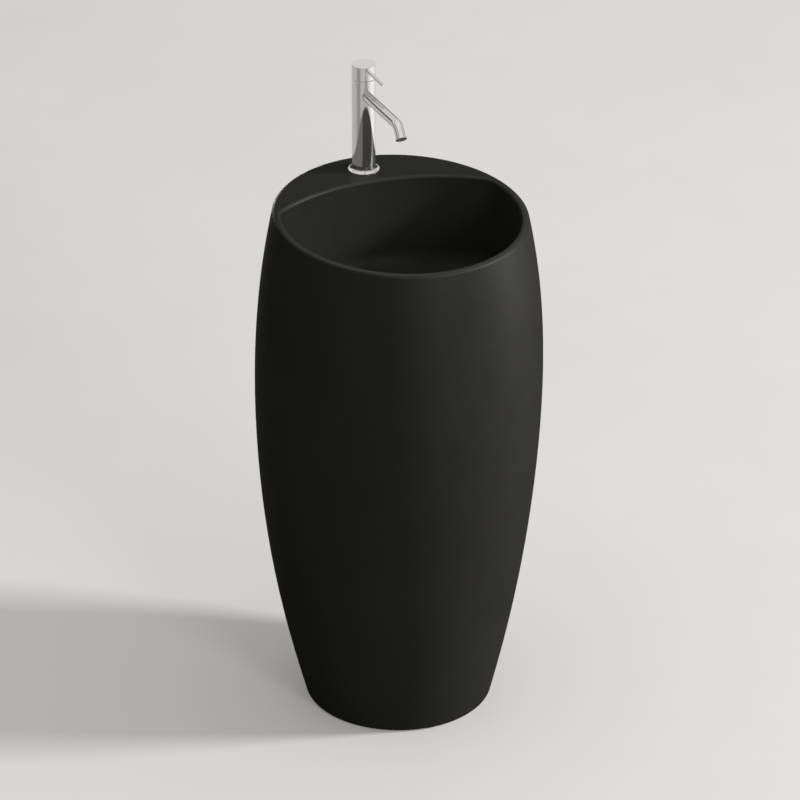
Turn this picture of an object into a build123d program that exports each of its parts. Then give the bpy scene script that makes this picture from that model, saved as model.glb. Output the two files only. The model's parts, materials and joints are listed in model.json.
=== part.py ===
"""Free-standing pedestal sink: a one-piece ceramic barrel with a bowl, waste, trap and a single-lever tap.

Millimetres. +Z is up, the front faces -Y, and the origin is on the floor at the centre of the foot.
"""

import os
from math import cos, radians, sin, sqrt, tan

from build123d import *

os.makedirs("parts", exist_ok=True)

# Ceramic body: half sizes at the foot and at the belly, and how far the rim is drawn in from the belly
basin_height = 850.0
foot_radius = 148.0
side_belly = 224.0
side_belly_height = 580.0
side_rim_inset = 28.5
front_belly = 243.0
front_belly_height = 650.0
front_rim_inset = 14.0
back_belly = 243.0
back_belly_height = 430.0
back_rim_inset = 34.5
section_count = 7
body_wall = 12.0
deck_thickness = 15.0
rim_round = 5.5
foot_round = 8.0
foot_ring_width = 18.0
foot_ring_height = 25.0

# Bowl
lip_width = 12.0
bowl_back = 116.0
bowl_back_radius = 290.0
bowl_corner = 38.0
bowl_floor_corner = 45.0
bowl_depth = 160.0
bowl_draft = 4.0
bowl_floor_round = 42.0
bowl_edge_round = 4.5
bowl_wall = 12.0
dish_radius = 100.0
dish_fall = 7.0
drain_floor_thickness = 14.0

# Opening at the back for the pipes
service_width = 160.0
service_headroom = 72.0
service_edge_round = 3.0

# Waste fitting
waste_y = -50.0
tail_radius = 20.9
tail_wall = 2.7
tail_length = 70.0
waste_hole_clearance = 1.6
flange_radius = 32.0
flange_thickness = 3.0
flange_clearance = 0.8
flange_seal_thickness = 2.0
thread_clearance = 0.2
lower_seal_thickness = 4.0
lower_seal_radius = 31.0
waste_washer_thickness = 2.0
backnut_across_flats = 54.0
backnut_height = 12.0

# Push plug
plug_margin = 1.0
plug_edge = 2.5
plug_crown = 2.0
plug_lift = 9.0
plug_gap = 0.5
plug_skirt_depth = 6.0
plug_skirt_wall_gap = 1.2
plug_seal_gap = 0.3
plug_seal_height = 2.4
stem_radius = 5.0
stem_fit = 0.06
stem_screw_radius = 3.0
stem_screw_length = 5.0
stem_stop_height = 2.5
stem_stop_width = 1.6
guide_drop = 32.0
guide_height = 18.0
guide_ring_height = 5.0
guide_ring_wall = 2.0
guide_hub_wall = 3.0
guide_spoke = 3.0
press_gap = 0.05

# Bottle trap
pipe_radius = 16.0
pipe_wall = 1.9
pipe_clearance = 0.25
inlet_nut_height = 30.0
inlet_nut_wall = 6.0
inlet_nut_lip = 6.0
inlet_seal_thickness = 3.0
inlet_flange_thickness = 2.5
inlet_tube_length = 155.0
trap_axis_drop = 82.0
trap_radius = 34.0
trap_wall = 4.0
trap_head_margin = 0.75
trap_skirt_height = 17.0
trap_neck_height = 22.0
trap_neck_wall = 6.0
collar_seal_height = 5.0
collar_nut_height = 20.0
collar_nut_wall = 4.0
collar_lip = 3.0
cup_height = 92.0
cup_wall = 3.0
cup_floor = 3.5
cup_round = 14.0
cup_seal_thickness = 2.0
outlet_boss_reach = 60.0
outlet_insert = 16.0
outlet_invert_radius = 13.0
spigot_length = 60.0
spigot_mark = 0.5
nut_flutes = 12
nut_flute_radius = 4.0
nut_flute_depth = 1.0

# Tap: heights are above the deck, and reach is measured forward from its axis
tap_forward = 2.25
tap_hole_radius = 17.5
tap_radius = 18.5
tap_column_height = 157.0
base_ring_width = 6.0
base_ring_edge = 1.6
base_ring_height = 7.0
base_ring_ledge = 2.0
base_ring_step = 2.3
base_ring_fit = 0.1
base_seal_groove = 1.5
base_seal_squeeze = 0.1
base_seal_inset = 1.0
base_seal_width = 3.0
inlet_radius = 4.5
inlet_depth = 14.0
inlet_x = 6.6
inlet_y = -3.0
supply_radius = 2.5
supply_x = 4.6
supply_y = -2.6
chamber_wall = 4.5
chamber_head = 11.0

# Spout and aerator
spout_radius = 8.1
spout_wall = 1.5
spout_below_top = 26.5
spout_rise = 5.3
spout_straight_reach = 149.5
spout_bend_radius = 16.0
spout_drop = 45.0
nozzle_length = 14.0
braze_gap = 0.05
spout_wall_inset = 0.4
aerator_bore_radius = 7.2
aerator_bore_depth = 8.0
aerator_rim_radius = 9.1
aerator_rim_height = 3.2
aerator_sleeve_wall = 1.2
aerator_fit = 0.05
aerator_washer_thickness = 1.5
aerator_washer_width = 2.0
aerator_slot = 1.2
aerator_pitch = 2.4
aerator_slot_length = 6.4
aerator_recess = 0.8
aerator_rim_round = 0.6
aerator_insert_height = 5.0

# Handle
cap_gap = 1.0
cap_height = 23.0
cap_edge = 0.7
tilt_range = 20.0
cap_relief_margin = 1.5
lever_radius = 2.5
lever_rise = 4.0
lever_height = 17.6
lever_root_reach = 6.5
lever_tip_reach = 86.0
lever_tip_round = 1.2
lever_fit = 0.05
grub_radius = 2.5
grub_length = 10.0
grub_height = 10.5
grub_socket = 2.5

# Cartridge
housing_flow_gap = 2.5
housing_wall = 1.5
housing_fit = 0.2
housing_height = 26.0
housing_shoulder = 4.0
housing_lip = 3.0
base_plate_thickness = 6.0
port_radius = 2.0
port_seal_width = 1.2
port_seal_thickness = 1.2
outlet_port_y = 4.0
disc_thickness = 3.0
disc_film = 0.05
disc_fit = 0.1
disc_side_gap = 0.8
mixing_radius = 3.4
mixing_depth = 1.5
mixing_y = 2.0
carrier_gap = 0.6
rotor_flange = 3.7
rotor_end_play = 0.3
rotor_neck_radius = 7.0
rotor_neck_rise = 8.0
rotor_fit = 0.05
pivot_rise = 2.5
pivot_radius = 1.5
pivot_fit = 0.03
spindle_half_width = 3.0
spindle_half_depth = 3.5
spindle_fit = 0.1
spindle_grip = 14.0
spindle_arm = 10.5
spindle_arm_half_depth = 1.8
finger_radius = 2.0
finger_fit = 0.12
finger_floor_gap = 0.4
cartridge_nut_height = 7.0
cartridge_nut_bore = 9.5
cartridge_nut_fit = 0.1
cartridge_nut_notch = 3.0

# Tap fixing under the deck
stud_radius = 3.9
stud_y = 8.0
stud_drop = 75.0
stud_engagement = 12.0
stud_fit = 0.05
fixing_radius = 22.0
fixing_slot_half_width = 15.0
fixing_slot_back = 2.5
fixing_gasket_thickness = 3.0
fixing_washer_thickness = 2.5
fixing_nut_across_flats = 12.0
fixing_nut_height = 18.0

# Floor brackets inside the foot, behind the sides
bracket_angle = 45.0
pad_inset = 20.0
pad_width = 44.0
pad_height = 66.0
bracket_thickness = 3.0
bracket_width = 30.0
bracket_leg = 40.0
bracket_upright = 60.0
bracket_hole_radius = 3.3
bracket_hole_inset = 22.0
bracket_screw_height = 38.0
bracket_screw_radius = 3.0
screw_hole_clearance = 0.6
screw_head_radius = 6.0
screw_head_height = 3.6
screw_socket = 4.0
screw_grip = 21.0
screw_recess_radius = 8.0
screw_tip = 6.0
screw_cap_gap = 0.15
screw_cap_height = 2.4


def bulge(height, belly, belly_height, rim_inset):
    """Half size of the body at a height: one arc from the foot to the belly and one on to the rim."""
    if height < belly_height:
        run, drop = belly_height, belly - foot_radius
    else:
        run, drop = basin_height - belly_height, rim_inset
    radius = (run**2 + drop**2) / (2 * drop)
    return belly - radius + sqrt(radius**2 - (height - belly_height) ** 2)


def oval(height):
    """Half width, half depth and centre of the body's oval section at a height."""
    side = bulge(height, side_belly, side_belly_height, side_rim_inset)
    front = bulge(height, front_belly, front_belly_height, front_rim_inset)
    back = bulge(height, back_belly, back_belly_height, back_rim_inset)
    return side, (front + back) / 2, (back - front) / 2


def bowl_outline(height, inset, corner):
    """The bowl's plan: the rim's oval inside its lip, cut off at the back by a flatter arc."""
    side, depth, centre = oval(basin_height)
    with BuildSketch(Plane((0, 0, height))) as outline:
        with Locations((0, centre)):
            Ellipse(depth - lip_width - inset, side - lip_width - inset, rotation=90)
        with Locations((0, bowl_back - bowl_back_radius)):
            Circle(bowl_back_radius - inset, mode=Mode.INTERSECT)
        fillet(outline.vertices(), corner)
    return outline.sketch


# Levels that several pieces share
section_heights = [basin_height * i / (section_count - 1) for i in range(section_count)]
pad_distance = foot_radius - pad_inset
screw_seat_distance = pad_distance + screw_grip
cavity_top = basin_height - deck_thickness
bowl_floor = basin_height - bowl_depth
drain_level = bowl_floor - dish_fall
flange_seat = drain_level - flange_thickness - flange_seal_thickness
drain_underside = flange_seat - drain_floor_thickness
flange_underside = flange_seat + flange_seal_thickness
tail_end = flange_underside - tail_length
tail_bore = tail_radius - tail_wall
outlet_level = tail_end - trap_axis_drop
service_height = outlet_level + service_headroom
tap_y = (bowl_back + bowl_wall + back_belly - back_rim_inset - body_wall) / 2 - tap_forward
waste_axis = Axis((0, waste_y, 0), (0, 0, 1))
waste_profile = Plane((0, waste_y, 0), x_dir=(1, 0, 0), z_dir=(0, -1, 0))
bracket_sides = {"left": 180 - bracket_angle, "right": bracket_angle}


def bracket_plane(angle):
    """Upright plane through the foot's centre, with x outward to the bracket and y up."""
    outward = (cos(radians(angle)), sin(radians(angle)), 0)
    return Plane((0, 0, 0), x_dir=outward, z_dir=(outward[1], -outward[0], 0))


def across_plane(angle, distance):
    """Plane across a bracket screw's axis, at a distance from the foot's centre."""
    outward = Vector(cos(radians(angle)), sin(radians(angle)), 0)
    return Plane(outward * distance + Vector(0, 0, bracket_screw_height), z_dir=outward)


# Space inside the ceramic shell, open at the foot
with BuildPart() as shell_space:
    for height in section_heights:
        side, depth, centre = oval(height)
        with BuildSketch(Plane((0, centre, height))):
            Ellipse(depth - body_wall, side - body_wall, rotation=90)
    loft()
    split(bisect_by=Plane((0, 0, cavity_top)), keep=Keep.BOTTOM)
    # Thicker foot ring, and pads that the floor brackets stand against
    with BuildSketch():
        Circle(2 * foot_radius)
        Circle(foot_radius - foot_ring_width, mode=Mode.SUBTRACT)
    extrude(amount=foot_ring_height, mode=Mode.SUBTRACT)
    for angle in bracket_sides.values():
        with BuildSketch(bracket_plane(angle)):
            with Locations((pad_distance, 0)):
                Rectangle(foot_radius, 2 * pad_height, align=(Align.MIN, Align.CENTER))
        extrude(amount=pad_width / 2, both=True, mode=Mode.SUBTRACT)

# Space that the bowl leaves open
with BuildPart() as bowl_space:
    bowl_inset = bowl_depth * tan(radians(bowl_draft))
    loft(
        [
            bowl_outline(bowl_floor, bowl_inset, bowl_floor_corner),
            bowl_outline(basin_height, 0, bowl_corner),
        ]
    )
    fillet(bowl_space.faces().sort_by(Axis.Z)[0].edges(), bowl_floor_round)
    with Locations((0, waste_y, bowl_floor - dish_fall)):
        Cone(
            flange_radius + flange_clearance,
            dish_radius,
            dish_fall,
            align=(Align.CENTER, Align.CENTER, Align.MIN),
        )

# Ceramic that the bowl is made of, below the deck
with BuildPart() as bowl_shell:
    shell_inset = (bowl_floor - drain_underside + bowl_depth) * tan(radians(bowl_draft)) - bowl_wall
    loft(
        [
            bowl_outline(drain_underside, shell_inset, bowl_floor_corner),
            bowl_outline(basin_height, -bowl_wall, bowl_corner),
        ]
    )
    fillet(bowl_shell.faces().sort_by(Axis.Z)[0].edges(), bowl_floor_round)
    split(bisect_by=Plane((0, 0, cavity_top)), keep=Keep.BOTTOM)

with BuildPart() as basin_body:
    for height in section_heights:
        side, depth, centre = oval(height)
        with BuildSketch(Plane((0, centre, height))):
            Ellipse(depth, side, rotation=90)
    loft()
    fillet(basin_body.faces().sort_by(Axis.Z)[-1].edges(), rim_round)
    fillet(basin_body.faces().sort_by(Axis.Z)[0].edges(), foot_round)
    add(shell_space.part, mode=Mode.SUBTRACT)
    add(bowl_shell.part)
    add(bowl_space.part, mode=Mode.SUBTRACT)
    deck = basin_body.faces().filter_by(Plane.XY).sort_by(Axis.Z)[-1]
    fillet(deck.inner_wires()[0].edges(), bowl_edge_round)
    # Opening for the pipes
    with BuildSketch(Plane.XZ):
        with Locations((0, (service_height - service_width / 2) / 2)):
            Rectangle(service_width, service_height - service_width / 2)
        with Locations((0, service_height - service_width / 2)):
            Circle(service_width / 2)
    extrude(amount=-(back_belly + body_wall), mode=Mode.SUBTRACT)
    opening = basin_body.faces(Select.LAST)
    arch_edges = opening.filter_by(GeomType.CYLINDER).edges().sort_by(Axis.Y)[-2:]
    jamb_edges = [jamb.edges().sort_by(SortBy.LENGTH)[-1] for jamb in opening.filter_by(Axis.X)]
    fillet([*arch_edges, *jamb_edges], service_edge_round)
    # Drain recess and hole, and the tap hole
    with Locations((0, waste_y, drain_level)):
        Cylinder(
            flange_radius + flange_clearance,
            drain_level - flange_seat,
            align=(Align.CENTER, Align.CENTER, Align.MAX),
            mode=Mode.SUBTRACT,
        )
        Hole(tail_radius + waste_hole_clearance, depth=drain_level - drain_underside + 1)
    with Locations((0, tap_y, basin_height)):
        Hole(tap_hole_radius, depth=deck_thickness + 1)
    # Holes for the bracket screws, with a recess for each head
    for angle in bracket_sides.values():
        with BuildSketch(across_plane(angle, pad_distance)):
            Circle(bracket_screw_radius + screw_hole_clearance)
        extrude(amount=foot_radius, mode=Mode.SUBTRACT)
        with BuildSketch(across_plane(angle, screw_seat_distance)):
            Circle(screw_recess_radius)
        extrude(amount=foot_radius, mode=Mode.SUBTRACT)
basin_body.part.label = "basin_body"
export_step(basin_body.part, "parts/basin_body.step")

# Waste fitting
with BuildPart() as waste_flange:
    with BuildSketch(waste_profile):
        with BuildLine():
            Polyline(
                (tail_bore, tail_end),
                (tail_radius, tail_end),
                (tail_radius, flange_underside),
                (flange_radius, flange_underside),
                (flange_radius, drain_level - flange_thickness / 2),
                (flange_radius - flange_thickness / 2, drain_level),
                (tail_bore + flange_thickness, drain_level),
                (tail_bore, flange_underside),
                close=True,
            )
        make_face()
    revolve(axis=waste_axis)
waste_flange.part.label = "waste_flange"
export_step(waste_flange.part, "parts/waste_flange.step")

with BuildPart() as waste_flange_seal:
    with BuildSketch(Plane((0, waste_y, flange_seat))):
        Circle(flange_radius - flange_clearance)
        Circle(tail_radius + thread_clearance, mode=Mode.SUBTRACT)
    extrude(amount=flange_seal_thickness)
waste_flange_seal.part.label = "waste_flange_seal"
export_step(waste_flange_seal.part, "parts/waste_flange_seal.step")

with BuildPart() as waste_lower_seal:
    with BuildSketch(Plane((0, waste_y, drain_underside))):
        Circle(lower_seal_radius)
        Circle(tail_radius + thread_clearance, mode=Mode.SUBTRACT)
    extrude(amount=-lower_seal_thickness)
waste_lower_seal.part.label = "waste_lower_seal"
export_step(waste_lower_seal.part, "parts/waste_lower_seal.step")

with BuildPart() as waste_washer:
    with BuildSketch(Plane((0, waste_y, drain_underside - lower_seal_thickness))):
        Circle(lower_seal_radius)
        Circle(tail_radius + thread_clearance, mode=Mode.SUBTRACT)
    extrude(amount=-waste_washer_thickness)
waste_washer.part.label = "waste_washer"
export_step(waste_washer.part, "parts/waste_washer.step")

with BuildPart() as waste_backnut:
    with BuildSketch(Plane((0, waste_y, drain_underside - lower_seal_thickness - waste_washer_thickness))):
        RegularPolygon(backnut_across_flats / 2, 6, major_radius=False)
        Circle(tail_radius + thread_clearance, mode=Mode.SUBTRACT)
    extrude(amount=-backnut_height)
waste_backnut.part.label = "waste_backnut"
export_step(waste_backnut.part, "parts/waste_backnut.step")

# Push plug: a crowned cap on a stem that slides in a guide pressed into the tail
plug_radius = flange_radius - plug_margin
plug_underside = drain_level + plug_gap
plug_top = plug_underside + plug_edge + plug_crown
skirt_radius = tail_bore - plug_skirt_wall_gap
skirt_bottom = plug_underside - plug_skirt_depth
seal_bottom = skirt_bottom + (plug_skirt_depth - plug_seal_height) / 2
seal_radius = tail_bore - plug_seal_gap
seal_groove = seal_radius - plug_seal_height
guide_top = flange_underside - guide_drop
guide_bottom = guide_top - guide_height
stem_stop_top = guide_bottom - plug_lift

with BuildPart() as plug_guide:
    with BuildSketch(Plane((0, waste_y, guide_top))):
        Circle(tail_bore - press_gap)
        Circle(tail_bore - guide_ring_wall, mode=Mode.SUBTRACT)
        with PolarLocations((tail_bore - guide_ring_wall / 2) / 2, 3):
            Rectangle(tail_bore - guide_ring_wall / 2, guide_spoke)
    extrude(amount=-guide_ring_height)
    with BuildSketch(Plane((0, waste_y, guide_top))):
        Circle(stem_radius + stem_fit + guide_hub_wall)
    extrude(amount=-guide_height)
    with Locations((0, waste_y, guide_top)):
        Hole(stem_radius + stem_fit, depth=guide_height)
plug_guide.part.label = "plug_guide"
export_step(plug_guide.part, "parts/plug_guide.step")

with BuildPart() as waste_plug:
    with BuildSketch(waste_profile):
        with BuildLine():
            Polyline(
                (0, plug_top),
                (0, skirt_bottom),
                (skirt_radius, skirt_bottom),
                (skirt_radius, seal_bottom),
                (seal_groove, seal_bottom),
                (seal_groove, seal_bottom + plug_seal_height),
                (skirt_radius, seal_bottom + plug_seal_height),
                (skirt_radius, plug_underside),
                (plug_radius, plug_underside),
                (plug_radius, plug_underside + plug_edge),
            )
            TangentArc((0, plug_top), (plug_radius, plug_underside + plug_edge), tangent=(1, 0))
        make_face()
    revolve(axis=waste_axis)
    with Locations(Plane((0, waste_y, skirt_bottom), z_dir=(0, 0, -1))):
        Hole(stem_screw_radius + press_gap, depth=stem_screw_length + press_gap)
waste_plug.part.label = "waste_plug"
export_step(waste_plug.part, "parts/waste_plug.step")

with BuildPart() as plug_seal:
    with BuildSketch(Plane((0, waste_y, seal_bottom + press_gap))):
        Circle(seal_radius)
        Circle(seal_groove, mode=Mode.SUBTRACT)
    extrude(amount=plug_seal_height - 2 * press_gap)
plug_seal.part.label = "plug_seal"
export_step(plug_seal.part, "parts/plug_seal.step")

with BuildPart() as plug_stem:
    with BuildSketch(waste_profile):
        with BuildLine():
            Polyline(
                (0, skirt_bottom + stem_screw_length),
                (0, stem_stop_top - stem_stop_height),
                (stem_radius + stem_stop_width, stem_stop_top - stem_stop_height),
                (stem_radius + stem_stop_width, stem_stop_top),
                (stem_radius, stem_stop_top),
                (stem_radius, skirt_bottom),
                (stem_screw_radius, skirt_bottom),
                (stem_screw_radius, skirt_bottom + stem_screw_length),
                close=True,
            )
        make_face()
    revolve(axis=waste_axis)
plug_stem.part.label = "plug_stem"
export_step(plug_stem.part, "parts/plug_stem.step")

# Bottle trap: nut, seal and dip tube under the tail, then head, cup and the tube to the wall
inlet_flange_top = tail_end - inlet_seal_thickness
inlet_flange_bottom = inlet_flange_top - inlet_flange_thickness
inlet_nut_bottom = inlet_flange_bottom - inlet_nut_lip
inlet_flange_radius = tail_radius - thread_clearance
pipe_hole = pipe_radius + pipe_clearance
neck_radius = pipe_hole + trap_neck_wall
trap_head_height = 2 * (neck_radius + trap_head_margin)
head_bottom = outlet_level - trap_head_height / 2
head_top = outlet_level + trap_head_height / 2
neck_top = head_top + trap_neck_height
skirt_outer = trap_radius - cup_wall - pipe_clearance
skirt_inner = skirt_outer - cup_wall
skirt_end = head_bottom - trap_skirt_height
outlet_boss_end = waste_y + outlet_boss_reach
wall_line = back_belly
nut_bore = neck_radius + thread_clearance
nut_radius = nut_bore + collar_nut_wall


def fluted_drum(radius, height):
    """Outer form of a plastic nut, downward from the active location: a drum with grip flutes."""
    Cylinder(radius, height, align=(Align.CENTER, Align.CENTER, Align.MAX))
    with PolarLocations(radius + nut_flute_radius - nut_flute_depth, nut_flutes):
        Cylinder(
            nut_flute_radius,
            height,
            align=(Align.CENTER, Align.CENTER, Align.MAX),
            mode=Mode.SUBTRACT,
        )


with BuildPart() as trap_inlet_nut:
    with Locations((0, waste_y, inlet_nut_bottom + inlet_nut_height)):
        fluted_drum(tail_radius + thread_clearance + inlet_nut_wall, inlet_nut_height)
        Hole(tail_radius + thread_clearance, depth=inlet_nut_height - inlet_nut_lip)
        Hole(pipe_hole, depth=inlet_nut_height)
trap_inlet_nut.part.label = "trap_inlet_nut"
export_step(trap_inlet_nut.part, "parts/trap_inlet_nut.step")

with BuildPart() as trap_inlet_seal:
    with BuildSketch(Plane((0, waste_y, inlet_flange_top))):
        Circle(inlet_flange_radius)
        Circle(pipe_radius - pipe_wall, mode=Mode.SUBTRACT)
    extrude(amount=inlet_seal_thickness)
trap_inlet_seal.part.label = "trap_inlet_seal"
export_step(trap_inlet_seal.part, "parts/trap_inlet_seal.step")

with BuildPart() as trap_inlet_tube:
    with BuildSketch(Plane((0, waste_y, inlet_flange_top))):
        Circle(pipe_radius)
    extrude(amount=-inlet_tube_length)
    with BuildSketch(Plane((0, waste_y, inlet_flange_top))):
        Circle(inlet_flange_radius)
    extrude(amount=-inlet_flange_thickness)
    with Locations((0, waste_y, inlet_flange_top)):
        Hole(pipe_radius - pipe_wall, depth=inlet_tube_length)
trap_inlet_tube.part.label = "trap_inlet_tube"
export_step(trap_inlet_tube.part, "parts/trap_inlet_tube.step")

outlet_plane = Plane((0, waste_y, outlet_level), x_dir=(1, 0, 0), z_dir=(0, 1, 0))
with BuildPart() as trap_body:
    with BuildSketch(waste_profile):
        with BuildLine():
            Polyline(
                (0, skirt_end),
                (skirt_outer, skirt_end),
                (skirt_outer, head_bottom),
                (trap_radius, head_bottom),
                (trap_radius, head_top),
                (neck_radius, head_top),
                (neck_radius, neck_top),
                (0, neck_top),
                close=True,
            )
        make_face()
    revolve(axis=waste_axis)
    shoulder = trap_body.faces().filter_by(Plane.XY).sort_by(Axis.Z)[-2].outer_wire()
    fillet(shoulder.edges(), trap_wall)
    with BuildSketch(outlet_plane):
        Circle(neck_radius)
    extrude(amount=outlet_boss_reach)
    with Locations((0, waste_y, neck_top)):
        Hole(pipe_hole, depth=neck_top - skirt_end)
    with BuildSketch(Plane((0, waste_y, head_bottom))):
        Circle(trap_radius - trap_wall)
    extrude(amount=trap_head_height - trap_wall, mode=Mode.SUBTRACT)
    with BuildSketch(Plane((0, waste_y, skirt_end))):
        Circle(skirt_inner)
    extrude(amount=trap_skirt_height, mode=Mode.SUBTRACT)
    with BuildSketch(outlet_plane):
        Circle(outlet_invert_radius)
    extrude(amount=outlet_boss_reach, mode=Mode.SUBTRACT)
    with BuildSketch(outlet_plane.offset(outlet_boss_reach - outlet_insert)):
        Circle(pipe_hole)
    extrude(amount=outlet_insert, mode=Mode.SUBTRACT)
trap_body.part.label = "trap_body"
export_step(trap_body.part, "parts/trap_body.step")

cup_top = head_bottom - pipe_clearance
cup_ledge = skirt_end - cup_seal_thickness
with BuildPart() as trap_cup:
    with BuildSketch(Plane((0, waste_y, cup_top))):
        Circle(trap_radius)
    extrude(amount=-cup_height)
    fillet(trap_cup.edges().sort_by(Axis.Z)[0], cup_round)
    with BuildSketch(Plane((0, waste_y, cup_top - cup_height + cup_floor))):
        Circle(skirt_inner)
    extrude(amount=cup_height, mode=Mode.SUBTRACT)
    with BuildSketch(Plane((0, waste_y, cup_ledge))):
        Circle(skirt_outer + pipe_clearance)
    extrude(amount=cup_height, mode=Mode.SUBTRACT)
    fillet(trap_cup.faces().filter_by(Plane.XY).sort_by(Axis.Z)[1].edges(), cup_round - cup_floor)
trap_cup.part.label = "trap_cup"
export_step(trap_cup.part, "parts/trap_cup.step")

with BuildPart() as trap_cup_seal:
    with BuildSketch(Plane((0, waste_y, cup_ledge))):
        Circle(skirt_outer)
        Circle(skirt_inner, mode=Mode.SUBTRACT)
    extrude(amount=cup_seal_thickness)
trap_cup_seal.part.label = "trap_cup_seal"
export_step(trap_cup_seal.part, "parts/trap_cup_seal.step")

# The head's neck and its outlet each take the same seal and nut
gland_planes = {
    "trap_collar": Plane((0, waste_y, neck_top), z_dir=(0, 0, 1)),
    "trap_outlet": Plane((0, outlet_boss_end, outlet_level), x_dir=(1, 0, 0), z_dir=(0, 1, 0)),
}
for name, plane in gland_planes.items():
    with BuildPart() as gland_seal:
        with BuildSketch(plane):
            Circle(neck_radius)
            Circle(pipe_radius + press_gap, mode=Mode.SUBTRACT)
        extrude(amount=collar_seal_height)
    gland_seal.part.label = f"{name}_seal"
    export_step(gland_seal.part, f"parts/{name}_seal.step")

    with BuildPart() as gland_nut:
        with Locations(plane.offset(collar_seal_height + collar_lip)):
            fluted_drum(nut_radius, collar_nut_height)
            Hole(pipe_hole, depth=collar_nut_height)
        with BuildSketch(plane.offset(collar_seal_height)):
            Circle(nut_bore)
        extrude(amount=-collar_nut_height, mode=Mode.SUBTRACT)
    gland_nut.part.label = f"{name}_nut"
    export_step(gland_nut.part, f"parts/{name}_nut.step")

with BuildPart() as trap_outlet_tube:
    with BuildSketch(outlet_plane.offset(outlet_boss_reach - outlet_insert + pipe_clearance)):
        Circle(pipe_radius)
        Circle(pipe_radius - pipe_wall, mode=Mode.SUBTRACT)
    extrude(amount=wall_line - outlet_boss_end + outlet_insert - pipe_clearance)
    # Groove that marks how deep the spigot goes into the wall pipe
    with BuildSketch(Plane((0, wall_line - spigot_length, outlet_level), x_dir=(1, 0, 0), z_dir=(0, 1, 0))):
        Circle(pipe_radius + pipe_wall)
        Circle(pipe_radius - spigot_mark, mode=Mode.SUBTRACT)
    extrude(amount=-2 * spigot_mark, mode=Mode.SUBTRACT)
trap_outlet_tube.part.label = "trap_outlet_tube"
export_step(trap_outlet_tube.part, "parts/trap_outlet_tube.step")

# Tap levels, which hang from the top of its column
cap_bottom = tap_column_height + cap_gap
chamber_radius = tap_radius - chamber_wall
housing_top_height = tap_column_height - chamber_head
chamber_floor_height = housing_top_height - housing_height
spout_root_height = tap_column_height - spout_below_top
base_seal_inner = tap_radius + base_seal_inset
base_seal_outer = base_seal_inner + base_seal_width
base_ring_radius = tap_radius + base_ring_width
base_ring_bore = tap_radius - base_ring_step

# Planes through the tap's axis, looking from the front and from the side
tap_axis = Axis((0, tap_y, basin_height), (0, 0, 1))
tap_profile = Plane((0, tap_y, basin_height), x_dir=(1, 0, 0), z_dir=(0, -1, 0))
tap_side = Plane((0, tap_y, basin_height), x_dir=(0, -1, 0), z_dir=(-1, 0, 0))


def tap_level(height):
    """Plane across the tap's axis at a height above the deck."""
    return Plane((0, tap_y, basin_height + height))


with BuildPart() as tap_base_ring:
    with BuildSketch(tap_profile):
        with BuildLine():
            Polyline(
                (tap_radius + base_ring_fit, base_ring_height),
                (tap_radius + base_ring_fit, base_ring_ledge),
                (base_ring_bore, base_ring_ledge),
                (base_ring_bore, 0),
                (base_seal_inner, 0),
                (base_seal_inner, base_seal_groove),
                (base_seal_outer, base_seal_groove),
                (base_seal_outer, 0),
                (base_ring_radius, 0),
                (base_ring_radius, base_ring_edge),
            )
            TangentArc(
                (base_ring_radius, base_ring_edge),
                (tap_radius + base_ring_fit, base_ring_height),
                tangent=(-1, 0),
            )
        make_face()
    revolve(axis=tap_axis)
tap_base_ring.part.label = "tap_base_ring"
export_step(tap_base_ring.part, "parts/tap_base_ring.step")

with BuildPart() as tap_base_seal:
    with BuildSketch(tap_level(0)):
        Circle(base_seal_outer - base_seal_squeeze)
        Circle(base_seal_inner + base_seal_squeeze, mode=Mode.SUBTRACT)
    extrude(amount=base_seal_groove - base_seal_squeeze)
tap_base_seal.part.label = "tap_base_seal"
export_step(tap_base_seal.part, "parts/tap_base_seal.step")

# Spout: its centre line in the tap's side plane
spout_start = chamber_radius + spout_wall_inset
with BuildLine(tap_side) as spout_line:
    spout_run = Line(
        (spout_start, spout_root_height + spout_start * tan(radians(spout_rise))),
        (spout_straight_reach, spout_root_height + spout_straight_reach * tan(radians(spout_rise))),
    )
    spout_bend = JernArc(spout_run @ 1, spout_run % 1, spout_bend_radius, -(spout_rise + spout_drop))
    PolarLine(spout_bend @ 1, nozzle_length, direction=spout_bend % 1)
spout_root = Plane(spout_line.line @ 0, z_dir=spout_line.line % 0)
nozzle_end = Plane(spout_line.line @ 1, z_dir=spout_line.line % 1)

with BuildPart() as tap_body:
    with BuildSketch(tap_level(base_ring_ledge)):
        Circle(tap_radius)
    extrude(amount=tap_column_height - base_ring_ledge)
    chamfer(tap_body.edges().sort_by(Axis.Z)[-1], cap_edge / 2)
    with Locations(tap_level(tap_column_height)):
        Hole(chamber_radius, depth=tap_column_height - chamber_floor_height)
    # Water ways from the inlets up to the chamber, and the stud's hole
    with Locations(tap_level(chamber_floor_height)):
        with Locations((-supply_x, supply_y), (supply_x, supply_y)):
            Hole(supply_radius, depth=chamber_floor_height - base_ring_ledge - inlet_depth / 2)
    with BuildSketch(tap_level(base_ring_ledge)):
        with Locations((-inlet_x, inlet_y), (inlet_x, inlet_y)):
            Circle(inlet_radius)
    extrude(amount=inlet_depth, mode=Mode.SUBTRACT)
    with BuildSketch(tap_level(base_ring_ledge)):
        with Locations((0, stud_y)):
            Circle(stud_radius + stud_fit)
    extrude(amount=stud_engagement + stud_fit, mode=Mode.SUBTRACT)
    # Socket that the spout is brazed into
    with BuildSketch(spout_root):
        Circle(spout_radius + braze_gap)
    extrude(amount=tap_radius, mode=Mode.SUBTRACT)
    with BuildSketch(spout_root):
        Circle(spout_radius - spout_wall)
    extrude(amount=-chamber_radius, mode=Mode.SUBTRACT)
tap_body.part.label = "tap_body"
export_step(tap_body.part, "parts/tap_body.step")

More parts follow.
